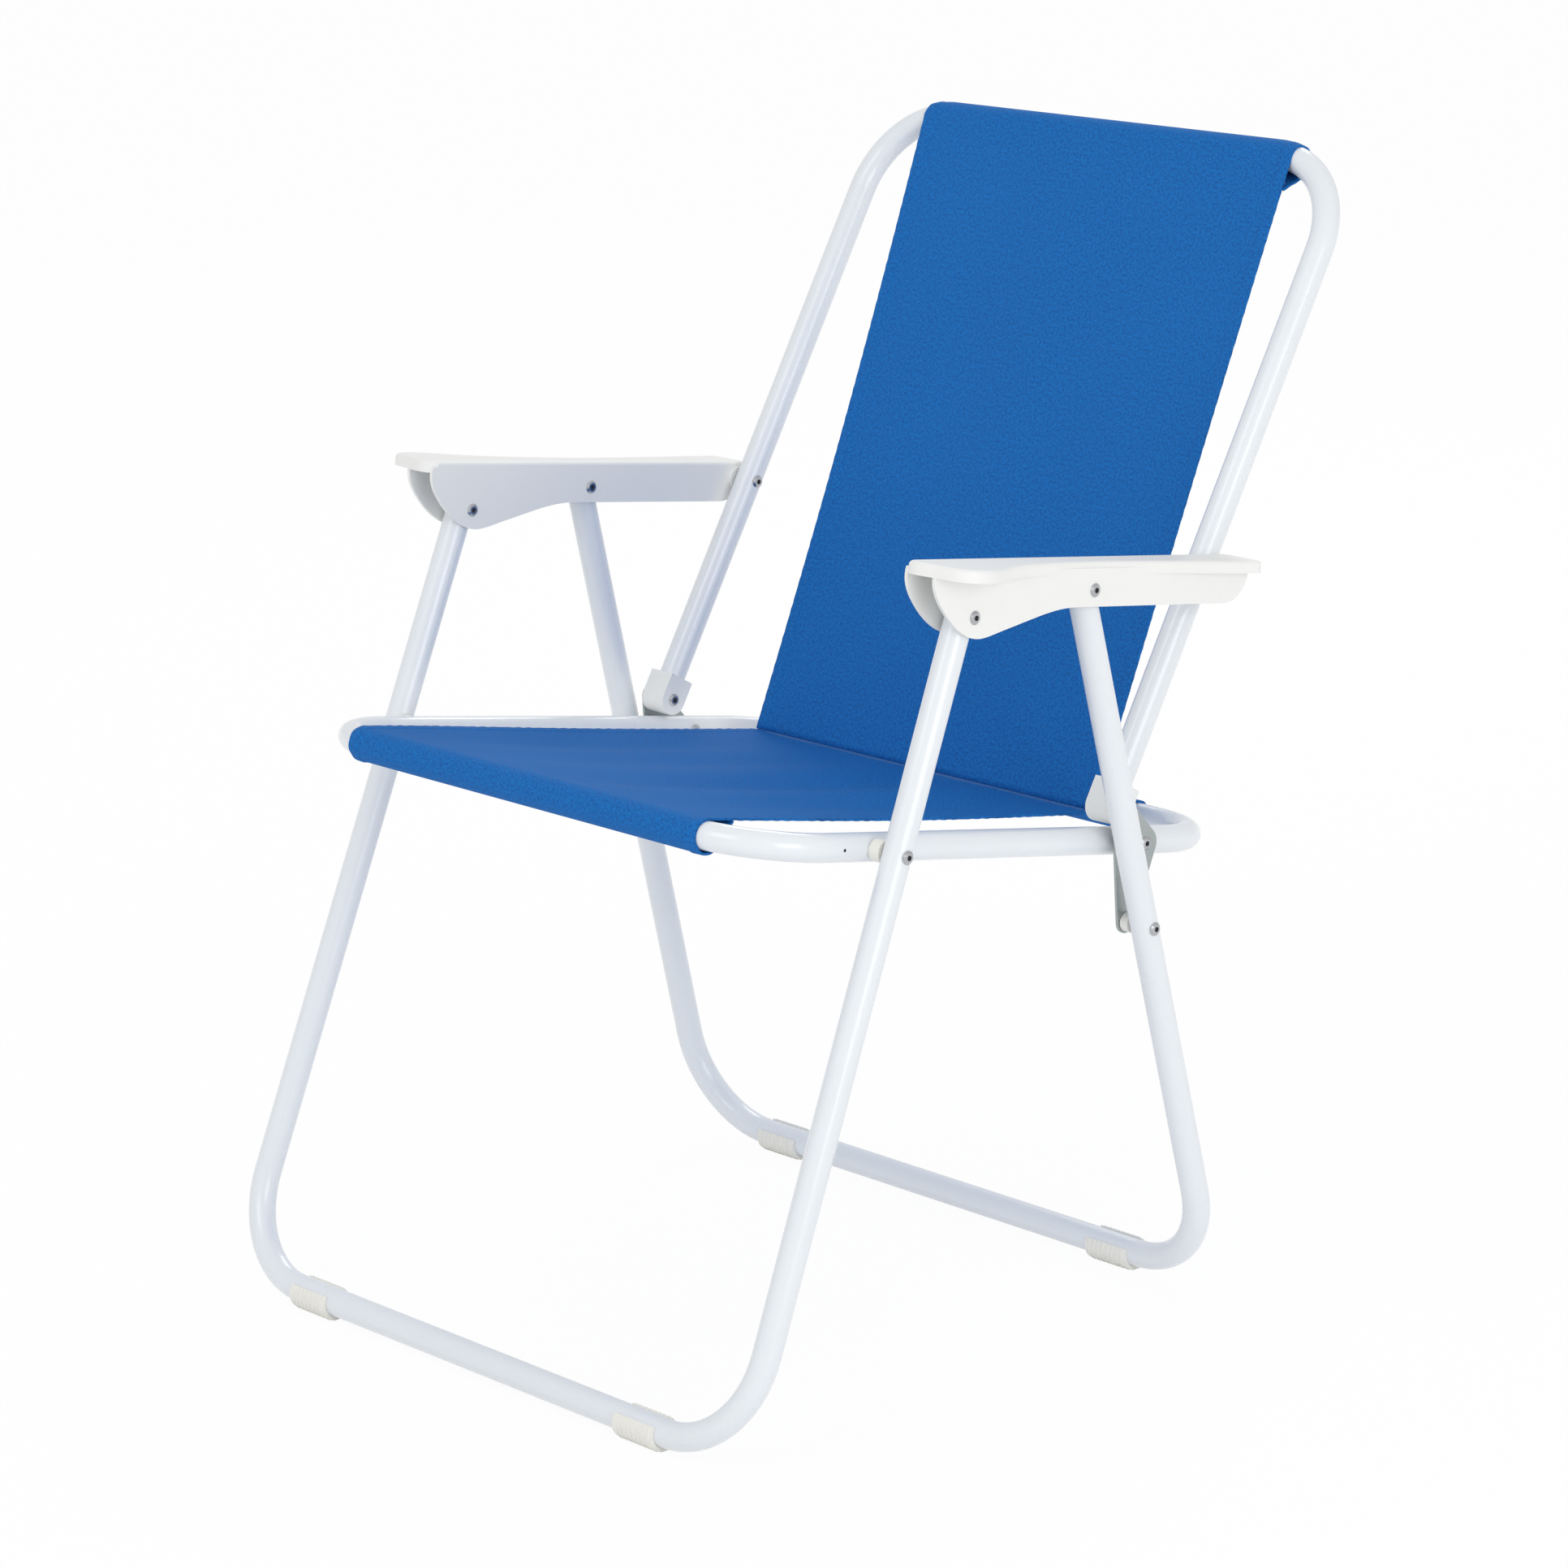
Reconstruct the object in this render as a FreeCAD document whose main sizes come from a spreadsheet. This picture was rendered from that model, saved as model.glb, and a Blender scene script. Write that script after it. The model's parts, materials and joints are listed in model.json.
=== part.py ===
import FreeCAD, Part
import math
import os

import Sketcher
from FreeCAD import Placement, Rotation, Vector

# Folding camp chair: two U-shaped leg frames, a seat loop and a back hoop of bent steel tube, riveted
# together through two plastic armrests and two steel link plates, with a cloth seat and a cloth back.
#
# Frame: +Z up, the sitter faces -Y, +X is the sitter's left. The origin is on the floor, under the middle
# of the chair's box. Side view points are (y, z) pairs, first measured from the front floor bar.

SIZES = [
    # alias, value in mm or degrees, meaning
    ("tube_diameter", 19.0, "outside diameter of every tube"),
    ("tube_wall", 1.0, "wall of every tube"),
    ("seat_half_width", 221.5, "middle plane to the centre line of a seat rail or back tube"),
    ("pivot_gap", 6.5, "free space between a leg and a back tube at the armrest"),
    ("leg_splay", 10.0, "how much further out a leg stands at the floor than at its armrest"),
    ("foot_spacing", 440.0, "front floor bar to rear floor bar"),
    ("floor_bend", 67.0, "bend radius of both leg frames"),
    ("back_bend", 64.0, "bend radius of the back hoop"),
    ("seat_bend", 60.0, "bend radius of the seat loop"),
    ("tube_tail", 9.0, "tube beyond its last rivet"),
    ("cap_tail", 3.0, "back tube beyond its lowest rivet, inside the end cap"),
    ("arm_pivot_setback", 220.0, "front floor bar to the front armrest rivet, along Y"),
    ("arm_pivot_height", 518.0, "floor to the front armrest rivet"),
    ("arm_pivot_spacing", 110.0, "front to middle armrest rivet, along Y"),
    ("arm_pivot_drop", 2.0, "middle armrest rivet below the front one"),
    ("seat_pivot_height", 374.0, "floor to the rivet that carries the seat rail"),
    ("seat_slope", 11.2, "fall of the seat towards the back, in degrees"),
    ("seat_front_reach", 95.0, "seat rivet to the front bar, along the rail"),
    ("seat_rear_reach", 343.0, "seat rivet to the rear bar, along the rail"),
    ("link_reach", 250.0, "seat rivet to the link plate's rivet, along the rail"),
    ("back_pivot_forward", 26.3, "back tube's lowest rivet ahead of the link plate's rail rivet"),
    ("link_drop", 246.0, "middle armrest rivet to the link plate's lower rivet, down the rear leg"),
    ("back_angle", 58.4, "back tubes above level, in degrees"),
    ("back_length", 469.0, "lowest rivet of the back to the top bar's centre line"),
    ("back_arm_reach", 172.0, "lowest rivet of the back to its armrest rivet"),
    ("link_gap", 2.0, "rail wall to link plate"),
    ("link_thickness", 2.0, "sheet of the link plate"),
    ("link_top_radius", 9.0, "rounding about the link plate's upper rivet"),
    ("link_rail_radius", 10.5, "rounding about the link plate's rail rivet"),
    ("link_low_radius", 8.0, "rounding about the link plate's lower rivet"),
    ("rivet_radius", 2.5, "shank of every rivet"),
    ("rivet_bore", 1.8, "hollow middle of every rivet"),
    ("head_radius", 4.6, "head of every rivet"),
    ("head_height", 1.3, "height of a rivet's head"),
    ("rivet_fit", 0.05, "radial clearance of a rivet in its hole"),
    ("face_gap", 0.3, "running clearance between faces that turn on each other"),
    ("spacer_radius", 7.5, "round plastic spacer at the seat rivet"),
    ("link_spacer_radius", 6.5, "plastic spacer between the rear leg and the link plate"),
    ("cap_wall", 1.5, "back tube's wall to the outside of the moulded cap on its end"),
    ("cap_clear", 2.3, "seat rail to the moulded cap above it"),
    ("cap_length", 17.0, "cap above the rivet, along the tube"),
    ("cap_fit", 0.1, "radial clearance of the cap on its tube"),
    ("clip_wall", 2.0, "wall of a foot clip beside the bar"),
    ("clip_drop", 1.2, "how much thicker a foot clip is under the bar, and thinner over it"),
    ("clip_flat", 0.3, "how far the underside of a foot clip is worn flat"),
    ("clip_gap", 0.1, "radial clearance of a foot clip on its floor bar"),
    ("clip_length", 38.0, "length of a foot clip"),
    ("clip_reach", 168.0, "middle plane to the middle of a foot clip"),
    ("clip_wrap", 265.0, "angle of the bar that a foot clip covers, in degrees"),
    ("rib_height", 0.5, "height of the ribs round a foot clip"),
    ("rib_width", 1.6, "width of a rib"),
    ("rib_pitch", 4.4, "rib to rib"),
    ("arm_slope", 9.3, "fall of the armrest's top towards the back, in degrees"),
    ("arm_overhang", 41.0, "armrest ahead of its front rivet"),
    ("arm_pivot_depth", 34.0, "top of the armrest to its front rivet"),
    ("arm_plate", 8.0, "height of the armrest's edge"),
    ("arm_skin", 3.0, "plastic over the armrest's channel"),
    ("arm_skirt", 29.0, "height of the armrest behind its middle rivet, plate and skirt"),
    ("arm_belly", 12.0, "skirt below the front armrest rivet"),
    ("channel_side", 1.5, "free space each side of a tube in the armrest's channel"),
    ("skirt_wall", 2.5, "wall of the armrest's skirt"),
    ("palm_width", 42.0, "leg's centre line to the armrest's outer edge under the palm"),
    ("arm_width", 24.0, "leg's centre line to the armrest's outer edge behind the palm"),
    ("lug_radius", 8.5, "boss on the armrest that the back tube's rivet meets"),
    ("arm_tail", 10.0, "armrest beyond its rear rivet"),
    ("arm_fillet", 2.6, "rounding of the armrest's top edge"),
    ("arm_corner", 7.0, "rounding of the armrest's rear corners"),
    ("cloth_thickness", 1.2, "cloth, with the fold of its hem"),
    ("cloth_gap", 0.5, "cloth sleeve to the bar inside it"),
    ("seat_cloth_half", 175.0, "half the width of the seat cloth"),
    ("seat_tail_half", 143.0, "half the width of its narrower tail, behind the back cloth"),
    ("back_cloth_half", 177.0, "half the width of the back cloth"),
    ("crease_behind", 20.3, "seam between seat and back behind the link plate's rail rivet"),
    ("seam_gap", 0.5, "seat cloth to the middle of the back cloth's lower edge"),
]

SIDES = (("left", 1), ("right", -1))


# ---------------------------------------------------------------- sizes that follow from the driving ones

size = {alias: value for alias, value, meaning in SIZES}


def step(point, degrees, distance):
    """The side view point that lies a distance away in a direction."""
    a = math.radians(degrees)
    return (point[0] + distance * math.cos(a), point[1] + distance * math.sin(a))


def span(a, b):
    return math.hypot(b[0] - a[0], b[1] - a[1])


def heading(a, b):
    return math.degrees(math.atan2(b[1] - a[1], b[0] - a[0]))


tube_radius = size["tube_diameter"] / 2
cap_half = tube_radius + size["cap_wall"]
back_pivot_rise = tube_radius + cap_half + size["cap_clear"]
sleeve_inner = tube_radius + size["cloth_gap"]
sleeve_outer = sleeve_inner + size["cloth_thickness"]
clip_radius = tube_radius + size["clip_gap"] + size["clip_wall"]
bar_height = clip_radius + size["clip_drop"] - size["clip_flat"]
rail_wall_x = size["seat_half_width"] + tube_radius
leg_half_width = size["seat_half_width"] + size["tube_diameter"] + size["pivot_gap"]
link_inner_x = rail_wall_x + size["link_gap"]
link_outer_x = link_inner_x + size["link_thickness"]
channel_half = tube_radius + size["channel_side"]
skirt_half = channel_half + size["skirt_wall"]

front_foot = (0.0, bar_height)
rear_foot = (size["foot_spacing"], bar_height)
arm_front = (size["arm_pivot_setback"], size["arm_pivot_height"])
arm_middle = (arm_front[0] + size["arm_pivot_spacing"], arm_front[1] - size["arm_pivot_drop"])
front_leg_angle = heading(front_foot, arm_front)
rear_leg_angle = heading(rear_foot, arm_middle)
front_leg_length = span(front_foot, arm_front)
rear_leg_length = span(rear_foot, arm_middle)

seat_reach_up_leg = (size["seat_pivot_height"] - bar_height) / math.sin(math.radians(front_leg_angle))
seat_pivot = step(front_foot, front_leg_angle, seat_reach_up_leg)
rail_angle = -size["seat_slope"]
link_pivot = step(seat_pivot, rail_angle, size["link_reach"])
back_pivot = step(step(link_pivot, rail_angle, -size["back_pivot_forward"]), rail_angle + 90,
                  back_pivot_rise)
back_top = step(back_pivot, size["back_angle"], size["back_length"])
arm_rear = step(back_pivot, size["back_angle"], size["back_arm_reach"])
link_low = step(arm_middle, rear_leg_angle + 180, size["link_drop"])
link_up_leg = rear_leg_length - size["link_drop"]

arm_origin = step(step(arm_front, -size["arm_slope"], -size["arm_overhang"]), 90 - size["arm_slope"],
                  size["arm_pivot_depth"])
crease = step(step(link_pivot, rail_angle, size["crease_behind"]), rail_angle + 90,
              sleeve_outer + size["seam_gap"])

# The box's middle, front to back, from the front foot clip's ribs to the cloth over the top bar.
middle_y = (back_top[0] + sleeve_outer - clip_radius - size["rib_height"]) / 2


def leg_x(share):
    """A leg's centre line beside the middle plane, at a share of its length up from the floor bar."""
    return leg_half_width + size["leg_splay"] * (1 - share)


def place(point, degrees=0.0, x=0.0):
    """Placement at a side view point, with the object's own Y axis turned up by an angle."""
    return Placement(Vector(x, point[0] - middle_y, point[1]), Rotation(Vector(1, 0, 0), degrees))


def in_arm(point):
    """A side view point as (along, up) in the armrest's own frame."""
    reach, angle = span(arm_origin, point), heading(arm_origin, point) + size["arm_slope"]
    return step((0.0, 0.0), angle, reach)


# ---------------------------------------------------------------- document and sheet

doc = FreeCAD.newDocument("folding_camp_chair")
sheet = doc.addObject("Spreadsheet::Sheet", "Sizes")
for row, (alias, value, meaning) in enumerate(SIZES, start=1):
    sheet.set(f"A{row}", meaning)
    sheet.set(f"B{row}", str(value))
    sheet.setAlias(f"B{row}", alias)
doc.recompute()

nodes = []


def name_node(thing, label, placement):
    """Makes an object a sub-part, with its name and its place."""
    thing.Label = label
    thing.Placement = placement
    nodes.append(thing)
    return thing


# ---------------------------------------------------------------- primitives and booleans

def primitive(kind, name, base=(0, 0, 0), axis="z", **bound):
    """A Part primitive on the X or Z axis of its sub-part, with its sizes bound to the sheet."""
    thing = doc.addObject("Part::" + kind, name)
    for prop, expression in bound.items():
        thing.setExpression(prop, expression)
    turn = Rotation(Vector(0, 1, 0), 90) if axis == "x" else Rotation()
    thing.Placement = Placement(Vector(*base), turn)
    return thing


def fuse(name, pieces):
    thing = doc.addObject("Part::MultiFuse", name)
    thing.Shapes = pieces
    thing.Refine = True
    return thing


def cut(name, base, tool):
    thing = doc.addObject("Part::Cut", name)
    thing.Base = base
    thing.Tool = tool
    return thing


# ---------------------------------------------------------------- sketches and bodies

def plane_of(body, role):
    return next(f for f in body.Origin.OriginFeatures if f.Role == role)


def new_sketch(body, name, role, offset=0.0):
    sketch = body.newObject("Sketcher::SketchObject", name)
    sketch.AttachmentSupport = (plane_of(body, role), [""])
    sketch.MapMode = "FlatFace"
    sketch.AttachmentOffset = Placement(Vector(0, 0, offset), Rotation())
    return sketch


def bound_radius(sketch, geometry, expression, value):
    constraint = sketch.addConstraint(Sketcher.Constraint("Radius", geometry, value))
    sketch.setExpression(f"Constraints[{constraint}]", expression)


def circle(sketch, centre, expression, value):
    """A circle at a point of the sketch, its radius bound to the sheet."""
    ring = sketch.addGeometry(Part.Circle(Vector(*centre, 0), Vector(0, 0, 1), value))
    bound_radius(sketch, ring, expression, value)
    return ring


def rivet_holes(body, points):
    """Holes along X through every wall, for rivets at points of the body's YZ plane."""
    sketch = new_sketch(body, body.Name + "_holes", "YZ_Plane")
    for point in points:
        circle(sketch, point, "Sizes.rivet_radius + Sizes.rivet_fit",
               size["rivet_radius"] + size["rivet_fit"])
    holes = body.newObject("PartDesign::Pocket", body.Name + "_pocket")
    holes.Profile = sketch
    holes.Type = "ThroughAll"
    holes.Midplane = True
    return holes


def bent_corner(before, corner, after, radius):
    """Start, middle and end of the arc that rounds a corner."""
    u = (before - corner).normalize()
    v = (after - corner).normalize()
    half = u.getAngle(v) / 2
    start = corner + u * (radius / math.tan(half))
    end = corner + v * (radius / math.tan(half))
    centre = corner + (u + v).normalize() * (radius / math.sin(half))
    middle = centre + (corner - centre).normalize() * radius
    return start, middle, end


def bent_tube(label, corners, bend, holes, placement):
    """One bent tube, symmetric about its YZ plane: half of it is swept along a path, then mirrored.

    corners are the path's points in the body's XY plane, from the middle of one cross bar; bend names the
    radius of the bends between them."""
    body = doc.addObject("PartDesign::Body", label)
    profile = new_sketch(body, label + "_section", "YZ_Plane")
    centre = (corners[0].y, 0)
    circle(profile, centre, "Sizes.tube_diameter / 2", tube_radius)
    circle(profile, centre, "Sizes.tube_diameter / 2 - Sizes.tube_wall", tube_radius - size["tube_wall"])
    path = new_sketch(body, label + "_path", "XY_Plane")
    at = corners[0]
    edges = []
    for before, corner, after in zip(corners, corners[1:], corners[2:]):
        start, middle, end = bent_corner(before, corner, after, size[bend])
        edges.append(path.addGeometry(Part.LineSegment(at, start)))
        edges.append(path.addGeometry(Part.Arc(start, middle, end)))
        bound_radius(path, edges[-1], "Sizes." + bend, size[bend])
        at = end
    edges.append(path.addGeometry(Part.LineSegment(at, corners[-1])))
    doc.recompute()
    pipe = body.newObject("PartDesign::AdditivePipe", label + "_pipe")
    pipe.Profile = profile
    pipe.Spine = (path, [f"Edge{i + 1}" for i in range(len(edges))])
    doc.recompute()
    mirror = body.newObject("PartDesign::Mirrored", label + "_mirror")
    mirror.Originals = [pipe]
    mirror.MirrorPlane = (plane_of(body, "YZ_Plane"), [""])
    body.Tip = mirror
    doc.recompute()
    body.Tip = rivet_holes(body, holes)
    return name_node(body, label, placement)


# ---------------------------------------------------------------- tube frames

def leg_frame(label, foot, angle, length, second_hole):
    """A U of tube standing on its floor bar, with its legs leaning in by the splay."""
    top = length + size["tube_tail"]
    corners = [Vector(0, 0, 0), Vector(leg_x(0), 0, 0), Vector(leg_x(top / length), top, 0)]
    return bent_tube(label, corners, "floor_bend", [(length, 0), (second_hole, 0)], place(foot, angle))


def back_hoop():
    """The back: a hoop with its top bar at its own origin and its tubes running down along +Y."""
    end = size["back_length"] + size["cap_tail"]
    half = size["seat_half_width"]
    corners = [Vector(0, 0, 0), Vector(half, 0, 0), Vector(half, end, 0)]
    holes = [(size["back_length"], 0), (size["back_length"] - size["back_arm_reach"], 0)]
    return bent_tube("back_frame", corners, "back_bend", holes, place(back_top, size["back_angle"] + 180))


def seat_loop():
    """The seat: a closed loop around its rivet, its front bar on the -Y side."""
    half = size["seat_half_width"]
    front, rear = -size["seat_front_reach"], size["seat_rear_reach"]
    corners = [Vector(0, front, 0), Vector(half, front, 0), Vector(half, rear, 0), Vector(0, rear, 0)]
    return bent_tube("seat_frame", corners, "seat_bend", [(0, 0), (size["link_reach"], 0)],
                     place(seat_pivot, rail_angle))


leg_frame("front_leg_frame", front_foot, front_leg_angle, front_leg_length, seat_reach_up_leg)
leg_frame("rear_leg_frame", rear_foot, rear_leg_angle, rear_leg_length, link_up_leg)
back_hoop()
seat_loop()


# ---------------------------------------------------------------- armrests

# Outer edge of the armrest's plan, from its rear end forwards, as (width, along): width is a share of the
# way from the slim width to the palm width, along is measured from the front rivet.
PALM_EDGE = ((-0.20, 34.0), (0.22, 12.0), (0.80, -9.0), (0.92, -22.0), (0.62, -33.0))
# Front edge of the same plan, as (share of the slim width, along).
FRONT_EDGE = ((0.58, -39.5), (-0.38, -40.5))
# Lower edge of the skirt, front to rear, as (along, above) from the front rivet.
SKIRT_FRONT = ((-38.5, 20.0), (-30.0, 6.0), (-16.0, -6.5), (2.0, -13.5), (22.0, -10.0), (42.0, -4.6))
SKIRT_LEVEL = 92.0


def arm_outline(sketch, side, rear):
    """Plan of the top plate: straight along the sitter, full at the palm and slim behind it."""
    inner, slim, corner = -skirt_half, size["arm_width"], size["arm_corner"]
    palm_gain, pivot = size["palm_width"] - slim, size["arm_overhang"]
    start = Vector(side * slim, rear - corner, 0)
    inner_front = Vector(side * inner, corner, 0)
    edge = [Vector(side * (slim + share * palm_gain), pivot + along, 0) for share, along in PALM_EDGE]
    edge += [Vector(side * share * slim, pivot + along, 0) for share, along in FRONT_EDGE]
    outer = Part.BSplineCurve()
    outer.interpolate([start] + edge + [inner_front])
    inner_end = Vector(side * inner, rear - corner, 0)
    rear_inner = Vector(side * (inner + corner), rear, 0)
    rear_outer = Vector(side * (slim - corner), rear, 0)
    ease = corner * (1 - math.sqrt(0.5))
    sketch.addGeometry(outer)
    sketch.addGeometry(Part.LineSegment(inner_front, inner_end))
    sketch.addGeometry(Part.Arc(inner_end, Vector(side * (inner + ease), rear - ease, 0), rear_inner))
    sketch.addGeometry(Part.LineSegment(rear_inner, rear_outer))
    sketch.addGeometry(Part.Arc(rear_outer, Vector(side * (slim - ease), rear - ease, 0), start))


def skirt_outline(sketch, rear):
    """Side view of the skirt: a deep belly round the front rivet, then a shallow straight edge."""
    plate, depth = size["arm_plate"], size["arm_skirt"]
    pivot = Vector(size["arm_overhang"], -size["arm_pivot_depth"], 0)
    top = -plate / 2
    start = Vector(pivot.x + SKIRT_FRONT[0][0], top, 0)
    level = Vector(pivot.x + SKIRT_LEVEL, -depth, 0)
    curve = Part.BSplineCurve()
    curve.interpolate([start] + [pivot + Vector(along, above, 0) for along, above in SKIRT_FRONT] + [level])
    turn = depth - plate
    low_rear = Vector(rear - turn, -depth, 0)
    up_rear = Vector(rear, -plate, 0)
    ease = turn * (1 - math.sqrt(0.5))
    sketch.addGeometry(curve)
    sketch.addGeometry(Part.LineSegment(level, low_rear))
    sketch.addGeometry(Part.Arc(low_rear, Vector(rear - ease, -depth + ease, 0), up_rear))
    sketch.addGeometry(Part.LineSegment(up_rear, Vector(rear, top, 0)))
    sketch.addGeometry(Part.LineSegment(Vector(rear, top, 0), start))


def channel_outline(sketch, rear):
    """The channel that takes the tubes: open below and in front, under a lip and then under the skin."""
    lip, lip_end = -size["arm_plate"], size["arm_plate"]
    low, high = -size["arm_pivot_depth"] - 2 * size["arm_belly"], -size["arm_skin"]
    ends = [Vector(lip, low, 0), Vector(rear, low, 0), Vector(rear, high, 0), Vector(lip_end, high, 0),
            Vector(lip_end, lip, 0), Vector(lip, lip, 0)]
    for a, b in zip(ends, ends[1:] + ends[:1]):
        sketch.addGeometry(Part.LineSegment(a, b))


def across(body, name, sketch, kind, width):
    """A pad or pocket of a YZ sketch, as far to one side of it as to the other."""
    feature = body.newObject("PartDesign::" + kind, name)
    feature.Profile = sketch
    feature.Midplane = True
    feature.setExpression("Length", width)
    return feature


def armrest(label, side):
    """A moulded armrest: top plate, two skirts with a channel between them, and the rear rivet's boss."""
    front_hole, middle_hole, rear_hole = in_arm(arm_front), in_arm(arm_middle), in_arm(arm_rear)
    rear = rear_hole[0] + size["arm_tail"]
    skirt_rear = rear - size["arm_tail"] / 2
    body = doc.addObject("PartDesign::Body", label)
    plan = new_sketch(body, label + "_plan", "XY_Plane")
    arm_outline(plan, side, rear)
    plate = body.newObject("PartDesign::Pad", label + "_plate")
    plate.Profile = plan
    plate.Reversed = True
    plate.setExpression("Length", "Sizes.arm_plate")
    doc.recompute()
    top_edges = [f"Edge{i + 1}" for i, edge in enumerate(plate.Shape.Edges)
                 if abs(edge.BoundBox.ZMin) < 1e-6 and abs(edge.BoundBox.ZMax) < 1e-6]
    rounding = body.newObject("PartDesign::Fillet", label + "_rounding")
    rounding.Base = (plate, top_edges)
    rounding.setExpression("Radius", "Sizes.arm_fillet")
    skirt = new_sketch(body, label + "_side", "YZ_Plane")
    skirt_outline(skirt, skirt_rear)
    channel_width = "Sizes.tube_diameter + 2 * Sizes.channel_side"
    across(body, label + "_skirt", skirt, "Pad", channel_width + " + 2 * Sizes.skirt_wall")
    channel = new_sketch(body, label + "_channel", "YZ_Plane")
    channel_outline(channel, skirt_rear - size["skirt_wall"])
    across(body, label + "_hollow", channel, "Pocket", channel_width)
    body.Tip = rivet_holes(body, [front_hole, middle_hole])
    boss_sketch = new_sketch(body, label + "_boss_edge", "YZ_Plane", -side * skirt_half)
    circle(boss_sketch, rear_hole, "Sizes.lug_radius", size["lug_radius"])
    boss = body.newObject("PartDesign::Pad", label + "_boss")
    boss.Profile = boss_sketch
    boss.Reversed = side > 0
    boss.Length = leg_half_width - skirt_half - rail_wall_x - size["face_gap"]
    body.Tip = boss
    return name_node(body, label, place(arm_origin, -size["arm_slope"], side * leg_half_width))


for end, side in SIDES:
    armrest("armrest_" + end, side)


# ---------------------------------------------------------------- link plates

def round_plate_outline(sketch, circles):
    """The outline that a belt takes round three circles, given as (point, radius name), counter-clockwise."""
    joints = []
    for (a, first), (b, second) in zip(circles, circles[1:] + circles[:1]):
        gap, way = span(a, b), heading(a, b)
        lean = math.degrees(math.asin((size[second] - size[first]) / gap))
        outward = way - 90 + -lean
        joints.append((step(a, outward, size[first]), step(b, outward, size[second]), outward))
    for i, (leave, arrive, outward) in enumerate(joints):
        sketch.addGeometry(Part.LineSegment(Vector(*leave, 0), Vector(*arrive, 0)))
        centre, radius = circles[(i + 1) % len(circles)]
        following = joints[(i + 1) % len(joints)]
        turn = (following[2] - outward) % 360
        middle = step(centre, outward + turn / 2, size[radius])
        arc = sketch.addGeometry(Part.Arc(Vector(*arrive, 0), Vector(*middle, 0), Vector(*following[0], 0)))
        bound_radius(sketch, arc, "Sizes." + radius, size[radius])


def in_link(point):
    return (point[0] - link_pivot[0], point[1] - link_pivot[1])


def link_plate(label, side):
    """A stamped plate that joins rail, back tube and rear leg, outside the rail."""
    body = doc.addObject("PartDesign::Body", label)
    outline = new_sketch(body, label + "_outline", "YZ_Plane")
    holes = [in_link(link_low), in_link(link_pivot), in_link(back_pivot)]
    round_plate_outline(outline, list(zip(holes, ("link_low_radius", "link_rail_radius", "link_top_radius"))))
    pad = body.newObject("PartDesign::Pad", label + "_sheet")
    pad.Profile = outline
    pad.Reversed = side < 0
    pad.setExpression("Length", "Sizes.link_thickness")
    doc.recompute()
    body.Tip = rivet_holes(body, holes)
    return name_node(body, label, place(link_pivot, 0, side * link_inner_x))


for end, side in SIDES:
    link_plate("link_plate_" + end, side)


# ---------------------------------------------------------------- rivets, spacers and washers

def turned(name, start, length, radius, bore):
    """A plain ring along X, from start."""
    outside = primitive("Cylinder", name + "_outside", (start, 0, 0), "x", Radius=radius)
    outside.Height = length
    inside = primitive("Cylinder", name + "_inside", (start - 1, 0, 0), "x", Radius=bore)
    inside.Height = length + 2
    return cut(name, outside, inside)


def rivet(label, side, point, inner, outer, inner_head=True, outer_head=True):
    """A hollow rivet along X between two faces, with a bevelled head outside each face that has one.

    inner and outer are the faces' distances from the middle plane."""
    heads = []
    low, high = (inner, outer) if side > 0 else (-outer, -inner)
    low_head, high_head = (inner_head, outer_head) if side > 0 else (outer_head, inner_head)
    reach = size["head_height"]
    first = low - (reach if low_head else 0)
    length = high - low + (reach if low_head else 0) + (reach if high_head else 0)
    shank = primitive("Cylinder", label + "_shank", (0, 0, 0), "x", Radius="Sizes.rivet_radius")
    shank.Height = length
    heads.append(shank)
    if low_head:
        heads.append(primitive("Cone", label + "_low_head", (0, 0, 0), "x", Radius1="0.7 * Sizes.head_radius",
                               Radius2="Sizes.head_radius", Height="Sizes.head_height"))
    if high_head:
        heads.append(primitive("Cone", label + "_high_head", (length - reach, 0, 0), "x",
                               Radius1="Sizes.head_radius", Radius2="0.7 * Sizes.head_radius",
                               Height="Sizes.head_height"))
    solid = fuse(label + "_solid", heads) if len(heads) > 1 else shank
    bore = primitive("Cylinder", label + "_bore", (-1, 0, 0), "x", Radius="Sizes.rivet_bore")
    bore.Height = length + 2
    return name_node(cut(label, solid, bore), label, place(point, 0, first))


def ring(label, side, point, inner, outer, radius_name):
    """A round plastic spacer along X between two distances from the middle plane."""
    piece = turned(label, 0, outer - inner, "Sizes." + radius_name, "Sizes.rivet_radius + Sizes.rivet_fit")
    return name_node(piece, label, place(point, 0, inner if side > 0 else -outer))


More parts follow.
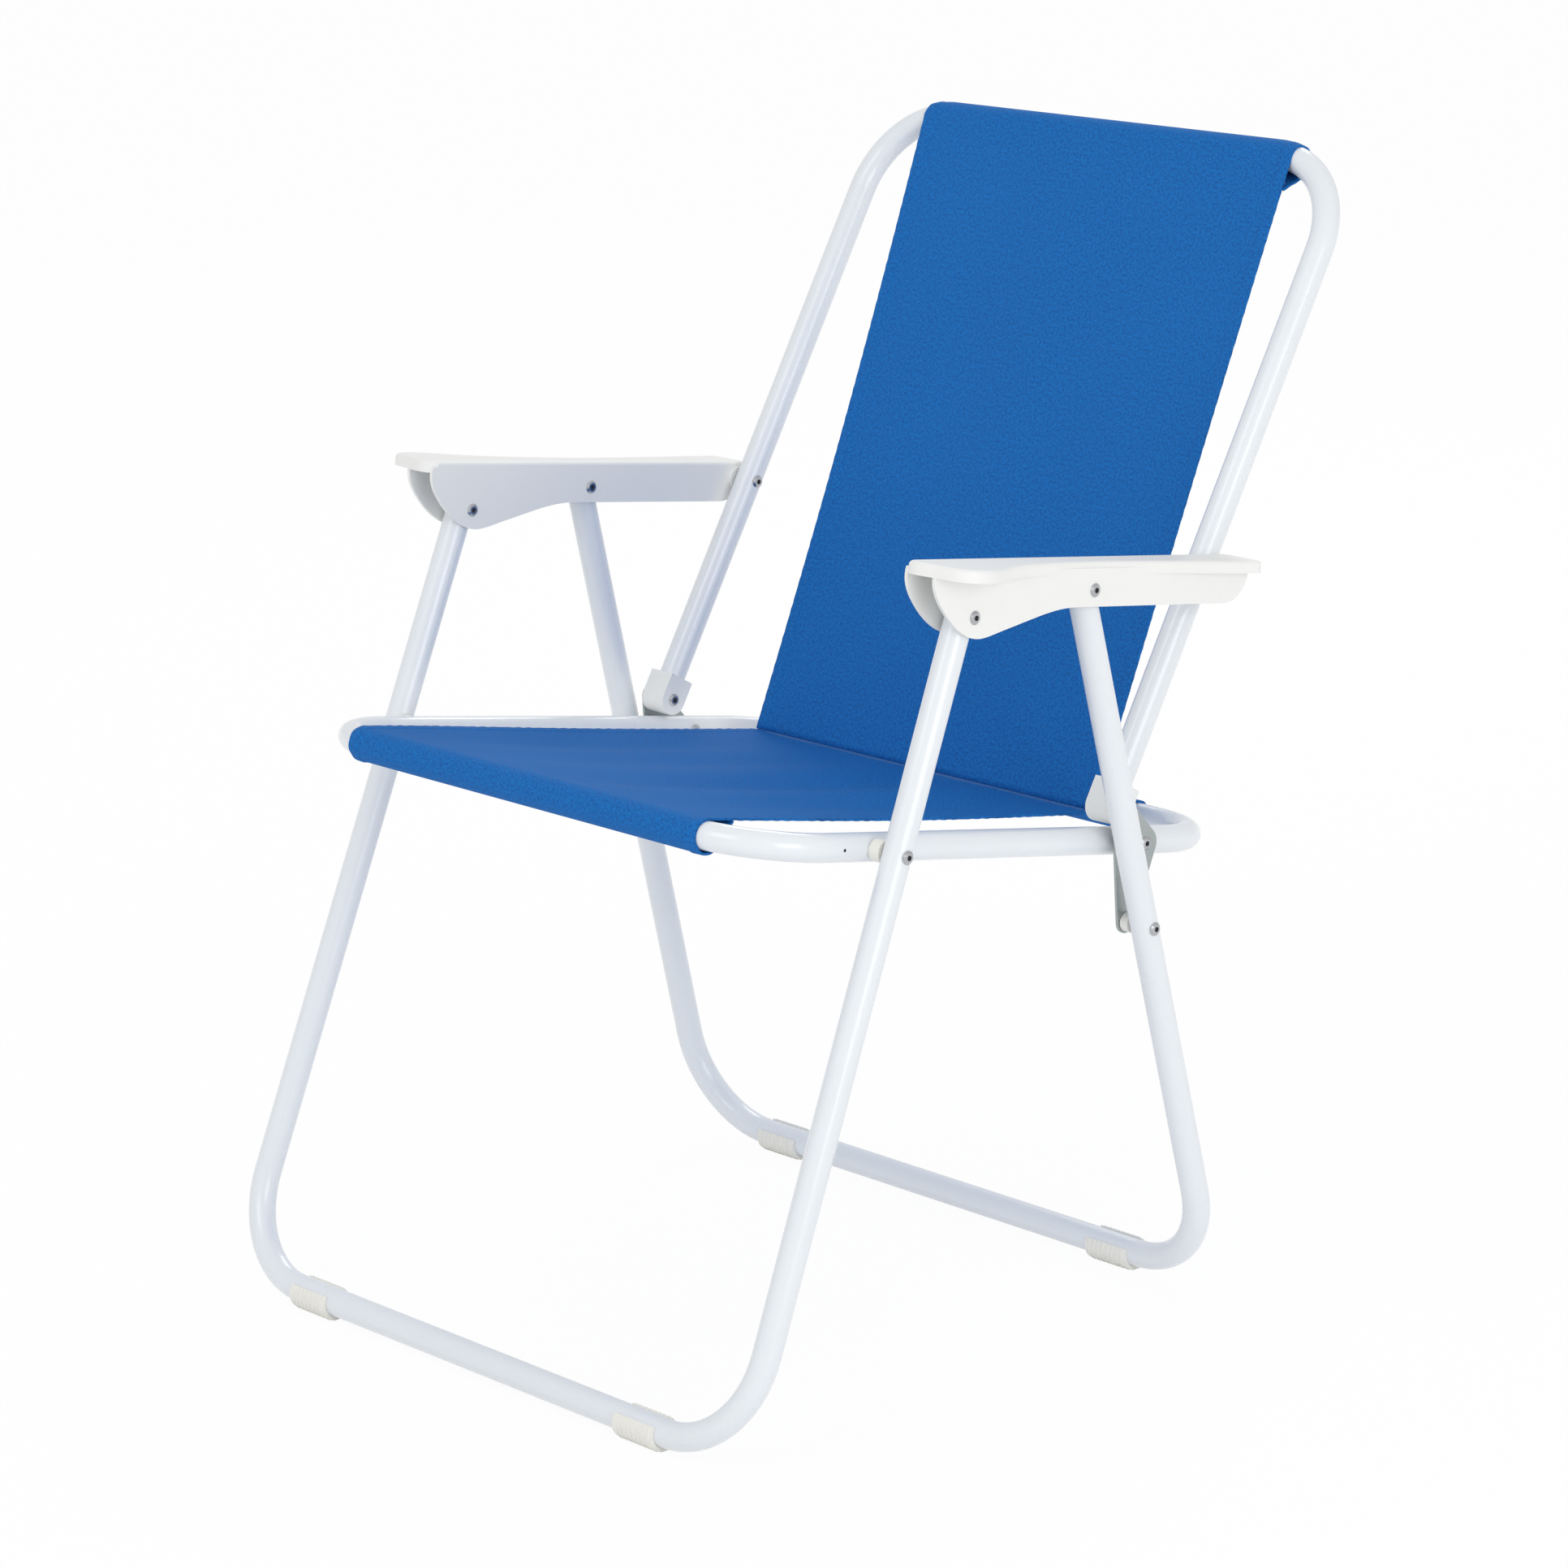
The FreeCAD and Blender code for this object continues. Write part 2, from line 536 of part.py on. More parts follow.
seat_share = seat_reach_up_leg / front_leg_length
link_share = link_up_leg / rear_leg_length
splay_over_spacer = size["leg_splay"] * size["spacer_radius"] / front_leg_length
gap = size["face_gap"]
for end, side in SIDES:
    # Skirt faces, and the tube crests that a head or a spacer sits on, beside the middle plane.
    skirt_in, skirt_out = leg_half_width - skirt_half, leg_half_width + skirt_half
    front_in = leg_x(seat_share) - tube_radius - splay_over_spacer
    front_out = leg_x(seat_share) + tube_radius
    rear_in = leg_x(link_share) - tube_radius - splay_over_spacer
    rear_out = leg_x(link_share) + tube_radius
    rail_in = size["seat_half_width"] - tube_radius
    cap_in = size["seat_half_width"] - cap_half
    rivet("arm_front_rivet_" + end, side, arm_front, skirt_in - gap / 2, skirt_out + gap / 2)
    rivet("arm_middle_rivet_" + end, side, arm_middle, skirt_in - gap / 2, skirt_out + gap / 2)
    rivet("arm_rear_rivet_" + end, side, arm_rear, rail_in - gap / 2, rail_wall_x, outer_head=False)
    rivet("seat_rivet_" + end, side, seat_pivot, rail_in - gap / 2, front_out + gap)
    rivet("link_rail_rivet_" + end, side, link_pivot, rail_in - gap / 2, link_outer_x + gap / 2)
    rivet("back_rivet_" + end, side, back_pivot, cap_in - gap / 2, link_outer_x + gap / 2)
    rivet("rear_leg_rivet_" + end, side, link_low, link_outer_x + gap, rear_out + gap, inner_head=False)
    rivet("link_low_tail_" + end, side, link_low, link_inner_x - gap / 2, link_outer_x, outer_head=False)
    ring("seat_spacer_" + end, side, seat_pivot, rail_wall_x + gap, front_in - gap / 2, "spacer_radius")
    ring("rear_leg_spacer_" + end, side, link_low, link_outer_x + gap, rear_in - gap / 2,
         "link_spacer_radius")


# ---------------------------------------------------------------- caps on the back tubes' ends

def end_cap(label, side):
    """A moulded cap round a back tube's lower end, flat on its sides and rounded about the rivet."""
    width = "(Sizes.tube_diameter + 2 * Sizes.cap_wall)"
    block = primitive("Box", label + "_block", Length=width, Width="Sizes.cap_length", Height=width)
    block.Placement.Base = Vector(-cap_half, 0, -cap_half)
    nose = primitive("Cylinder", label + "_nose", (-cap_half, 0, 0), "x", Radius=width + " / 2", Height=width)
    bore = doc.addObject("Part::Cylinder", label + "_bore")
    bore.setExpression("Radius", "Sizes.tube_diameter / 2 + Sizes.cap_fit")
    bore.Height = size["cap_length"] + size["cap_tail"] + size["cap_fit"] + 1
    start = -size["cap_tail"] - size["cap_fit"]
    bore.Placement = Placement(Vector(0, start, 0), Rotation(Vector(1, 0, 0), -90))
    pin_hole = primitive("Cylinder", label + "_hole", (-cap_half - 1, 0, 0), "x",
                         Radius="Sizes.rivet_radius + Sizes.rivet_fit", Height=width + " + 2")
    hollow = cut(label + "_hollow", fuse(label + "_body", [block, nose]), bore)
    cap = cut(label, hollow, pin_hole)
    return name_node(cap, label, place(back_pivot, size["back_angle"], side * size["seat_half_width"]))


for end, side in SIDES:
    end_cap("back_end_cap_" + end, side)


# ---------------------------------------------------------------- foot clips

def foot_clip(label, bar, side, mouth_start):
    """A ribbed plastic clip snapped round a floor bar; mouth_start is the angle where its gap begins."""
    outer = "Sizes.tube_diameter / 2 + Sizes.clip_gap + Sizes.clip_wall"
    length, drop = size["clip_length"], -size["clip_drop"]
    shell = primitive("Cylinder", label + "_shell", (0, 0, drop), "x", Radius=outer,
                      Height="Sizes.clip_length")
    count = int(length / size["rib_pitch"])
    margin = (length - (count - 1) * size["rib_pitch"] - size["rib_width"]) / 2
    ribs = [primitive("Cylinder", f"{label}_rib_{i}", (margin + i * size["rib_pitch"], 0, drop), "x",
                      Radius=outer + " + Sizes.rib_height", Height="Sizes.rib_width")
            for i in range(count)]
    ring = fuse(label + "_ribbed", [shell] + ribs)
    inside = primitive("Cylinder", label + "_inside", (-1, 0, 0), "x",
                       Radius="Sizes.tube_diameter / 2 + Sizes.clip_gap", Height="Sizes.clip_length + 2")
    mouth = primitive("Cylinder", label + "_mouth", (-1, 0, 0), "x", Radius="Sizes.tube_diameter",
                      Height="Sizes.clip_length + 2", Angle="360 - Sizes.clip_wrap")
    mouth.Placement = Placement(Vector(0, 0, 0), Rotation(Vector(1, 0, 0), mouth_start)) * mouth.Placement
    below = primitive("Box", label + "_floor", Length="Sizes.clip_length + 2",
                      Width="4 * Sizes.tube_diameter", Height="Sizes.tube_diameter")
    below.Placement.Base = Vector(-1, -2 * size["tube_diameter"], -bar_height - size["tube_diameter"])
    clip = cut(label, ring, fuse(label + "_spaces", [inside, mouth, below]))
    return name_node(clip, label, place(bar, 0, side * size["clip_reach"] - length / 2))


# A clip's mouth opens upwards and back; these are the angles from straight down to where it begins.
CLIP_MOUTHS = (("front", front_foot, 140.0), ("rear", rear_foot, 150.0))
for name, bar, mouth_start in CLIP_MOUTHS:
    for end, side in SIDES:
        foot_clip(f"foot_clip_{name}_{end}", bar, side, mouth_start)


# ---------------------------------------------------------------- cloth

def sleeve(name, along, half):
    """The two cylinders of a cloth sleeve along X: the outside, and the space for its bar."""
    outside = primitive("Cylinder", name + "_outside", (-half, along, 0), "x",
                        Radius="Sizes.tube_diameter / 2 + Sizes.cloth_gap + Sizes.cloth_thickness")
    outside.Height = 2 * half
    inside = primitive("Cylinder", name + "_inside", (-half - 1, along, 0), "x",
                       Radius="Sizes.tube_diameter / 2 + Sizes.cloth_gap")
    inside.Height = 2 * half + 2
    return outside, inside


def panel(name, half, start, length, low):
    """A flat length of cloth along +Y, its underside at a height of its own frame."""
    flat = primitive("Box", name, Height="Sizes.cloth_thickness")
    flat.Length = 2 * half
    flat.Width = length
    flat.Placement.Base = Vector(-half, start, low)
    return flat


def seat_cloth():
    """Seat cloth: stretched over the loop's front and rear bars, with a sleeve round each."""
    front, rear = -size["seat_front_reach"], size["seat_rear_reach"]
    seam = size["link_reach"] + size["crease_behind"]
    straight, tail = size["seat_half_width"] - size["seat_bend"], size["seat_tail_half"]
    front_out, front_in = sleeve("seat_front_sleeve", front, straight)
    rear_out, rear_in = sleeve("seat_rear_sleeve", rear, tail)
    top = panel("seat_panel", size["seat_cloth_half"], front, seam - front, sleeve_inner)
    behind = panel("seat_tail", tail, seam, rear - seam, sleeve_inner)
    cloth = cut("seat_cloth_open", fuse("seat_cloth_full", [front_out, rear_out, top, behind]), front_in)
    return name_node(cut("seat_sling", cloth, rear_in), "seat_sling", place(seat_pivot, rail_angle))


def back_cloth():
    """Back cloth: a sleeve round the top bar, and a panel from its front down to the seam on the seat."""
    half = size["back_cloth_half"]
    middle = sleeve_inner + size["cloth_thickness"] / 2
    reach = span(back_top, crease)
    lean = math.degrees(math.asin(middle / reach))
    fall = heading(back_top, crease)
    length = math.sqrt(reach ** 2 - middle ** 2)
    outside, inside = sleeve("back_sleeve", 0, size["seat_half_width"] - size["back_bend"])
    flat = panel("back_panel", half, 0, length, -sleeve_outer)
    cloth = cut("back_sling", fuse("back_cloth_full", [outside, flat]), inside)
    return name_node(cloth, "back_sling", place(back_top, fall + lean))


seat_cloth()
back_cloth()


# ---------------------------------------------------------------- checks and files

doc.recompute()
for thing in doc.Objects:
    if "Invalid" in thing.State or "Error" in thing.State:
        raise RuntimeError(f"{thing.Label} did not build: {thing.State}")
for node in nodes:
    if node.Shape.isNull() or not node.Shape.isValid():
        raise RuntimeError(f"{node.Label} has no valid shape")

os.makedirs("parts", exist_ok=True)
for node in nodes:
    node.Shape.exportStep(f"parts/{node.Label}.step")
    box = node.Shape.BoundBox
    spans = ", ".join(f"{low:.1f}..{high:.1f}" for low, high in (
        (box.XMin, box.XMax), (box.YMin, box.YMax), (box.ZMin, box.ZMax)))
    print(f"{node.Label}: {len(node.Shape.Solids)} solid, {node.Shape.Volume:.0f} mm3, {spans}")
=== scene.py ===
import json
import math

import bpy
import numpy as np
from mathutils import Matrix, Vector


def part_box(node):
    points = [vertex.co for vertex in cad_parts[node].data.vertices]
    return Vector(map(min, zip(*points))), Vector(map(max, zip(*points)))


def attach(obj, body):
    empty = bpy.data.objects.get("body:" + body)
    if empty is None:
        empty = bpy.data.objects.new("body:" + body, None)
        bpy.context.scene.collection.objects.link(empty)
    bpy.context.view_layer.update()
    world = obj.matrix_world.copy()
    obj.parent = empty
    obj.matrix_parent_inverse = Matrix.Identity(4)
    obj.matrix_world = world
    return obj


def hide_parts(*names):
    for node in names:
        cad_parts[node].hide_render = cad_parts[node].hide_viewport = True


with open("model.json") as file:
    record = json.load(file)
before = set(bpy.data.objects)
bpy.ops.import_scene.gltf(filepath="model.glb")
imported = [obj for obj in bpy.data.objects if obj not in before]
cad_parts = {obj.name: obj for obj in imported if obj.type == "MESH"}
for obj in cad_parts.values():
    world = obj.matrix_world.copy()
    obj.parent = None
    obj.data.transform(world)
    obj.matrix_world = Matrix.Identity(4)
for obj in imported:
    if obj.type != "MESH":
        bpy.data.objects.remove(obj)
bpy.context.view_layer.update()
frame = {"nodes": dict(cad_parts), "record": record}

nodes = frame["nodes"]

# ---------------------------------------------------------------- sizes of the frame, in metres

TUBE_RADIUS = 0.0095
RAIL_REACH = 0.2215            # middle plane to the centre line of a seat rail or back tube
SEAT_BEND, BACK_BEND = 0.060, 0.064
CLOTH_THICKNESS = 0.0009
HEM_EXTRA = 0.0007             # the turned-under second layer of a hem
HEM_WIDTH = 0.009
WRAP_RADIUS = 0.0103           # middle of the cloth round a bar
THREAD_PITCH = 0.0009

# Bar to the seam that closes its sleeve, and how loose the cloth hangs there.
FRONT_SLEEVE, REAR_SLEEVE, BACK_SLEEVE = (0.021, 0.0022), (0.024, 0.0010), (0.023, 0.0016)

# Half widths: the seat's at the front, what it loses by the crease and then by its tail; the back's at the
# top, what it loses by the crease, and how far its sides draw in between.
SEAT_HALF, SEAT_TAPER, TAIL_TAPER = 0.1738, 0.0055, 0.0260
BACK_HALF, BACK_TAPER, BACK_DRAW_IN = 0.1770, 0.0092, 0.0022

# How far the middle sinks under its own tension, how far the seat is drawn down to the crease, and the
# lengthwise waves, each as depth, width and turn.
SEAT_DIP, CREASE_PULL, BACK_BOW = 0.0050, 0.0024, 0.0045
SEAT_WAVES = ((0.0022, 0.083, 0.6), (0.0018, 0.131, 2.1))
BACK_WAVES = ((0.0007, 0.110, 1.1), (0.0006, 0.190, 0.2))

# Rows of the cloth grids: a sleeve's flat return and its wrap, then the panel.
FLAT_ROWS, SEAT_WRAP_ROWS, BACK_WRAP_ROWS = 8, 20, 22
SEAT_SLEEVE_ROWS, BACK_SLEEVE_ROWS = FLAT_ROWS + SEAT_WRAP_ROWS, FLAT_ROWS + BACK_WRAP_ROWS
SEAT_PANEL_ROWS, BACK_PANEL_ROWS = 96, 110


def side_point(y, z):
    return np.array([y, z])


seat_low, seat_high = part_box("seat_frame")
back_low, back_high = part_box("back_frame")
front_bar = side_point(seat_low.y + TUBE_RADIUS, seat_high.z - TUBE_RADIUS)
rear_bar = side_point(seat_high.y - TUBE_RADIUS, seat_low.z + TUBE_RADIUS)
top_bar = side_point(back_high.y - TUBE_RADIUS, back_high.z - TUBE_RADIUS)
seam_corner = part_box("back_sling")[0]


# ---------------------------------------------------------------- node helpers

def new_group(name, inputs, outputs):
    group = bpy.data.node_groups.new(name, "ShaderNodeTree")
    for label, kind, value in inputs:
        socket = group.interface.new_socket(name=label, in_out="INPUT", socket_type=kind)
        if value is not None:
            socket.default_value = value
    for label, kind in outputs:
        group.interface.new_socket(name=label, in_out="OUTPUT", socket_type=kind)
    start = group.nodes.new("NodeGroupInput")
    end = group.nodes.new("NodeGroupOutput")
    return group, start, end


def add(tree, kind, **settings):
    node = tree.nodes.new(kind)
    for key, value in settings.items():
        setattr(node, key, value)
    return node


def wire(tree, source, target):
    tree.links.new(source, target)


def maths(tree, operation, a, b=None):
    """A Math node; a and b are sockets or plain numbers."""
    node = add(tree, "ShaderNodeMath", operation=operation)
    for slot, value in enumerate((a, b)):
        if value is None:
            continue
        if isinstance(value, (int, float)):
            node.inputs[slot].default_value = value
        else:
            wire(tree, value, node.inputs[slot])
    return node.outputs[0]


def spread(tree, value, low, high):
    """Maps 0..1 to low..high."""
    node = add(tree, "ShaderNodeMapRange")
    wire(tree, value, node.inputs["Value"])
    node.inputs["To Min"].default_value = low
    node.inputs["To Max"].default_value = high
    return node.outputs["Result"]


def tint(tree, mask, first, second):
    """Blends two colours by a mask."""
    node = add(tree, "ShaderNodeMix", data_type="RGBA")
    wire(tree, mask, node.inputs["Factor"])
    node.inputs["A"].default_value = (*first, 1)
    node.inputs["B"].default_value = (*second, 1)
    return node.outputs["Result"]


# ---------------------------------------------------------------- shared effects

def surface_grain():
    """Fine unevenness of a finish: a mask, and a normal that follows it."""
    g, start, end = new_group(
        "Surface grain",
        [("Size", "NodeSocketFloat", 900.0), ("Detail", "NodeSocketFloat", 2.0),
         ("Depth", "NodeSocketFloat", 0.0001), ("Strength", "NodeSocketFloat", 0.3)],
        [("Mask", "NodeSocketFloat"), ("Normal", "NodeSocketVector")])
    place = add(g, "ShaderNodeTexCoord")
    noise = add(g, "ShaderNodeTexNoise")
    wire(g, place.outputs["Object"], noise.inputs["Vector"])
    wire(g, start.outputs["Size"], noise.inputs["Scale"])
    wire(g, start.outputs["Detail"], noise.inputs["Detail"])
    bump = add(g, "ShaderNodeBump")
    wire(g, noise.outputs["Fac"], bump.inputs["Height"])
    wire(g, start.outputs["Depth"], bump.inputs["Distance"])
    wire(g, start.outputs["Strength"], bump.inputs["Strength"])
    wire(g, noise.outputs["Fac"], end.inputs["Mask"])
    wire(g, bump.outputs["Normal"], end.inputs["Normal"])
    return g


def handling_marks():
    """Broad faint patches left by handling and moulding."""
    g, start, end = new_group(
        "Handling marks", [("Size", "NodeSocketFloat", 14.0), ("Contrast", "NodeSocketFloat", 1.6)],
        [("Mask", "NodeSocketFloat")])
    place = add(g, "ShaderNodeTexCoord")
    noise = add(g, "ShaderNodeTexNoise")
    noise.inputs["Detail"].default_value = 5.0
    noise.inputs["Roughness"].default_value = 0.6
    wire(g, place.outputs["Object"], noise.inputs["Vector"])
    wire(g, start.outputs["Size"], noise.inputs["Scale"])
    middle = maths(g, "SUBTRACT", noise.outputs["Fac"], 0.5)
    stretched = maths(g, "MULTIPLY", middle, start.outputs["Contrast"])
    shifted = maths(g, "ADD", stretched, 0.5)
    clamp = add(g, "ShaderNodeClamp")
    wire(g, shifted, clamp.inputs["Value"])
    wire(g, clamp.outputs[0], end.inputs["Mask"])
    return g


def plain_weave():
    """Over-and-under threads on the cloth's own thread map: which thread is on top, its height, a normal."""
    g, start, end = new_group(
        "Plain weave", [("Pitch", "NodeSocketFloat", THREAD_PITCH), ("Strength", "NodeSocketFloat", 0.5)],
        [("Height", "NodeSocketFloat"), ("Slub", "NodeSocketFloat"), ("Normal", "NodeSocketVector")])
    threads = add(g, "ShaderNodeUVMap", uv_map="threads")
    parts = add(g, "ShaderNodeSeparateXYZ")
    wire(g, threads.outputs["UV"], parts.inputs[0])
    wave = []
    for axis in ("X", "Y"):
        count = maths(g, "DIVIDE", parts.outputs[axis], start.outputs["Pitch"])
        wave.append(maths(g, "SINE", maths(g, "MULTIPLY", count, math.pi)))
    over = maths(g, "GREATER_THAN", maths(g, "MULTIPLY", wave[0], wave[1]), 0.0)
    crowns = [maths(g, "ABSOLUTE", w) for w in wave]
    pick = add(g, "ShaderNodeMix", data_type="FLOAT")
    wire(g, over, pick.inputs["Factor"])
    wire(g, crowns[0], pick.inputs["A"])
    wire(g, crowns[1], pick.inputs["B"])
    slub = add(g, "ShaderNodeTexNoise")
    slub.inputs["Scale"].default_value = 520.0
    slub.inputs["Detail"].default_value = 3.0
    slub.inputs["Roughness"].default_value = 0.7
    wire(g, threads.outputs["UV"], slub.inputs["Vector"])
    stretch = add(g, "ShaderNodeMapRange")
    stretch.inputs["From Min"].default_value = 0.40
    stretch.inputs["From Max"].default_value = 0.60
    wire(g, slub.outputs["Fac"], stretch.inputs["Value"])
    height = maths(g, "ADD", pick.outputs["Result"], maths(g, "MULTIPLY", stretch.outputs["Result"], 0.8))
    bump = add(g, "ShaderNodeBump")
    bump.inputs["Distance"].default_value = 0.00012
    wire(g, start.outputs["Strength"], bump.inputs["Strength"])
    wire(g, height, bump.inputs["Height"])
    wire(g, pick.outputs["Result"], end.inputs["Height"])
    wire(g, stretch.outputs["Result"], end.inputs["Slub"])
    wire(g, bump.outputs["Normal"], end.inputs["Normal"])
    return g


GRAIN, MARKS, WEAVE = surface_grain(), handling_marks(), plain_weave()


# ---------------------------------------------------------------- finishes

def finish_of(name):
    """A new material and its Principled shader."""
    material = bpy.data.materials.new(name)
    material.use_nodes = True
    return material, material.node_tree, material.node_tree.nodes["Principled BSDF"]


def effect(tree, group, **values):
    node = add(tree, "ShaderNodeGroup", node_tree=group)
    for key, value in values.items():
        node.inputs[key.capitalize()].default_value = value
    return node


def coated_finish(name, light, dark, shine, grain, coat=0.0, metal=0.0):
    """A paint, plastic or metal finish: two close tints, a range of roughness and a fine grain."""
    material, tree, shader = finish_of(name)
    marks = effect(tree, MARKS)
    fine = effect(tree, GRAIN, **grain)
    wire(tree, tint(tree, marks.outputs["Mask"], light, dark), shader.inputs["Base Color"])
    wire(tree, spread(tree, marks.outputs["Mask"], *shine), shader.inputs["Roughness"])
    wire(tree, fine.outputs["Normal"], shader.inputs["Normal"])
    shader.inputs["Coat Weight"].default_value = coat
    shader.inputs["Coat Roughness"].default_value = 0.08
    shader.inputs["Metallic"].default_value = metal
    return material


tube_paint = coated_finish("tube_paint", (0.785, 0.815, 0.845), (0.755, 0.79, 0.825), (0.20, 0.30),
                           {"size": 420.0, "depth": 0.00006, "strength": 0.25}, coat=0.35)
arm_plastic = coated_finish("arm_plastic", (0.86, 0.86, 0.835), (0.83, 0.832, 0.81), (0.42, 0.52),
                            {"size": 1500.0, "depth": 0.00006, "strength": 0.35})
cream_plastic = coated_finish("cream_plastic", (0.86, 0.85, 0.80), (0.83, 0.82, 0.76), (0.45, 0.55),
                              {"size": 1200.0, "depth": 0.00005, "strength": 0.3})
cap_plastic = coated_finish("cap_plastic", (0.85, 0.86, 0.85), (0.81, 0.82, 0.81), (0.35, 0.5),
                            {"size": 1200.0, "depth": 0.00005, "strength": 0.3})
zinc_plate = coated_finish("zinc_plate", (0.50, 0.54, 0.53), (0.38, 0.42, 0.42), (0.32, 0.48),
                           {"size": 700.0, "depth": 0.00005, "strength": 0.35}, metal=0.9)
bright_rivet = coated_finish("bright_rivet", (0.58, 0.59, 0.60), (0.42, 0.43, 0.45), (0.24, 0.38),
                             {"size": 900.0, "depth": 0.00004, "strength": 0.3}, metal=1.0)
# Near-black finish of the discs that stand for the shade inside rivet bores and vent holes: painted shade.
hollow_shade_paint = coated_finish("hollow_shade_paint", (0.05, 0.05, 0.055), (0.02, 0.02, 0.022), (0.5, 0.7),
                            {"size": 900.0, "depth": 0.00004, "strength": 0.3}, metal=0.6)


def sling_cloth():
    material, tree, shader = finish_of("sling_cloth")
    weave = effect(tree, WEAVE, pitch=THREAD_PITCH, strength=0.55)
    marks = effect(tree, MARKS, size=6.0, contrast=1.2)
    # Thread tops lighter and the dips between threads darker: painted shade in the weave, over the blue of
    # the yarn.
    shade = tint(tree, weave.outputs["Height"], (0.0070, 0.110, 0.375), (0.0150, 0.194, 0.595))
    worn = maths(tree, "ADD", maths(tree, "MULTIPLY", marks.outputs["Mask"], 0.25), weave.outputs["Slub"])
    fleck = tint(tree, worn, (0.40, 0.56, 0.66), (1.0, 1.0, 1.0))
    blend = add(tree, "ShaderNodeMix", data_type="RGBA", blend_type="MULTIPLY")
    blend.inputs["Factor"].default_value = 1.0
    wire(tree, shade, blend.inputs["A"])
    wire(tree, fleck, blend.inputs["B"])
    wire(tree, blend.outputs["Result"], shader.inputs["Base Color"])
    wire(tree, spread(tree, weave.outputs["Slub"], 0.66, 0.88), shader.inputs["Roughness"])
    wire(tree, weave.outputs["Normal"], shader.inputs["Normal"])
    shader.inputs["Specular IOR Level"].default_value = 0.22
    shader.inputs["Specular Tint"].default_value = (0.62, 0.84, 1.0, 1.0)
    return material


def sewing_thread():
    material, tree, shader = finish_of("sewing_thread")
    fine = effect(tree, GRAIN, size=2600.0, depth=0.0001, strength=0.6)
    wire(tree, tint(tree, fine.outputs["Mask"], (0.20, 0.46, 0.86), (0.28, 0.56, 0.94)),
         shader.inputs["Base Color"])
    wire(tree, spread(tree, fine.outputs["Mask"], 0.45, 0.7), shader.inputs["Roughness"])
    wire(tree, fine.outputs["Normal"], shader.inputs["Normal"])
    return material


cloth_finish, thread_finish = sling_cloth(), sewing_thread()

FINISH_OF_SLOT = {"tube": tube_paint, "armrest": arm_plastic, "foot_clip": cream_plastic,
                  "spacer": cream_plastic, "end_cap": cap_plastic, "link_plate": zinc_plate,
                  "rivet": bright_rivet, "cloth": cloth_finish}
for part in frame["record"]["subparts"]:
    node = nodes[part["node"]]
    node.data.materials.clear()
    node.data.materials.append(FINISH_OF_SLOT[part["material_slot"]])


# ---------------------------------------------------------------- cloth, as a grid of rows and columns

def bend_shift(x, bend):
    """How far a bar's centre line has curved towards the middle of its loop, beside the middle plane."""
    over = np.maximum(0, np.abs(x) - (RAIL_REACH - bend))
    return bend - np.sqrt(bend ** 2 - over ** 2)


def columns():
    """Places across the cloth from -1 to 1, close together at the hems."""
    half = 0.175
    edge = np.array([0, 0.0006, 0.0025, 0.0050, 0.0070, 0.0084, 0.0094, 0.0120, 0.0170])
    inner = np.linspace(0.150, -0.150, 34)
    right = 1 - edge / half
    return np.concatenate([-right, -inner / half, right[::-1]])


ACROSS = columns()


def smooth(t):
    t = np.clip(t, 0, 1)
    return t * t * (3 - 2 * t)


def sleeve_rows(count_flat, count_round, shape, to_panel=True):
    """A sleeve in its bar's own axes (along the panel, out of the panel): flat return, then the wrap.

    It starts at the seam under the panel and ends where the panel leaves the bar. shape is the seam's
    distance from the bar and the looseness of the cloth just before it."""
    depth, loose = shape
    seam = np.array([depth, WRAP_RADIUS - 1.3 * CLOTH_THICKNESS])
    reach = np.hypot(*seam)
    leave = math.atan2(seam[1], seam[0]) - math.acos(WRAP_RADIUS / reach)
    touch = WRAP_RADIUS * np.array([math.cos(leave), math.sin(leave)])
    slack = np.array([-0.2, -1.0]) * loose
    shares = np.linspace(0, 1, count_flat, endpoint=False)
    flat = [seam + (touch - seam) * t + slack * smooth(t) for t in shares]
    angles = np.linspace(leave, math.pi / 2 - 2 * math.pi, count_round, endpoint=False)
    wrap = [WRAP_RADIUS * np.array([math.cos(a), math.sin(a)])
            + slack * (1 - smooth((leave - a) / (0.75 * math.pi))) for a in angles]
    rows = np.array(flat + wrap)
    return rows if to_panel else rows[::-1]


def hem_share(x, half):
    """1 on the turned hem along a side edge, 0 on the single cloth."""
    inset = half - np.abs(x)
    return 1 - smooth((inset - (HEM_WIDTH - 0.0006)) / 0.0010)


def cloth_mesh(name, middle, normal, layers, threads, finish):
    """A closed sheet from a grid of points: front and back faces, and a rim all round.

    middle and normal are rows x columns x 3; layers is the grid's thickness above and below."""
    rows, cols = middle.shape[:2]
    above = middle + normal * layers[0][..., None]
    below = middle - normal * layers[1][..., None]
    verts = np.concatenate([above.reshape(-1, 3), below.reshape(-1, 3)])
    base = rows * cols
    at = np.arange(base).reshape(rows, cols)
    quads = np.stack([at[:-1, :-1], at[:-1, 1:], at[1:, 1:], at[1:, :-1]], -1).reshape(-1, 4)
    faces = [quads, quads[:, ::-1] + base]
    rim = np.concatenate([at[0, :-1], at[:-1, -1], at[-1, :0:-1], at[:0:-1, 0]])
    after = np.roll(rim, -1)
    faces.append(np.stack([after, rim, rim + base, after + base], -1))
    faces = np.concatenate(faces)
    mesh = bpy.data.meshes.new(name)
    mesh.from_pydata(verts.tolist(), [], faces.tolist())
    layer = mesh.uv_layers.new(name="threads")
    corners = np.empty(len(mesh.loops), int)
    mesh.loops.foreach_get("vertex_index", corners)
    flat = threads.reshape(-1, 2)[corners % base]
    layer.data.foreach_set("uv", flat.ravel().astype(np.float32))
    mesh.shade_smooth()
    mesh.materials.append(finish)
    piece = bpy.data.objects.new(name, mesh)
    bpy.context.scene.collection.objects.link(piece)
    return piece


